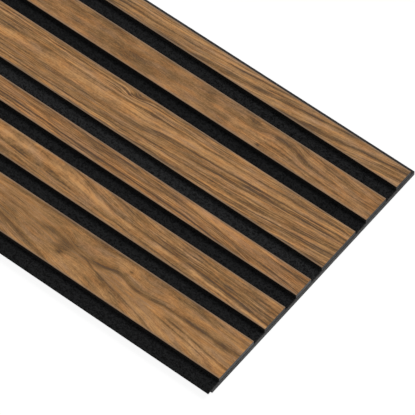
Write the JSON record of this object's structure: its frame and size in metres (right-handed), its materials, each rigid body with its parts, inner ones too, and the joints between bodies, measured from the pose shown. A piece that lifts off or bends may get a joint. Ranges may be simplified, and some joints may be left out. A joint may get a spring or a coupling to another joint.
{
  "type": "acoustic slat wall panel",
  "caption": "Flat wall cladding panel: walnut-faced slats of three widths on black felt over a dark backing board, with a shiplap along each long edge.",
  "frame": {"origin": "middle of the panel's outline, on its back face", "axes": "+X along the slats, +Y across them from the felt's overhang to the board's lip, +Z out of the slatted face"},
  "size_m": [1.2, 0.306, 0.012],
  "materials": {
    "walnut_veneer": "matte",
    "black_felt": "matte",
    "black_fibreboard": "matte",
    "backing_board": "matte"
  },
  "bodies": {
    "root": {"backing_board": "backing_board", "felt_sheet": "black_felt", "slat_core_1": "black_fibreboard", "slat_core_2": "black_fibreboard", "slat_core_3": "black_fibreboard", "slat_core_4": "black_fibreboard", "slat_core_5": "black_fibreboard", "slat_core_6": "black_fibreboard", "slat_veneer_1": "walnut_veneer", "slat_veneer_2": "walnut_veneer", "slat_veneer_3": "walnut_veneer", "slat_veneer_4": "walnut_veneer", "slat_veneer_5": "walnut_veneer", "slat_veneer_6": "walnut_veneer"}
  },
  "joints": []
}
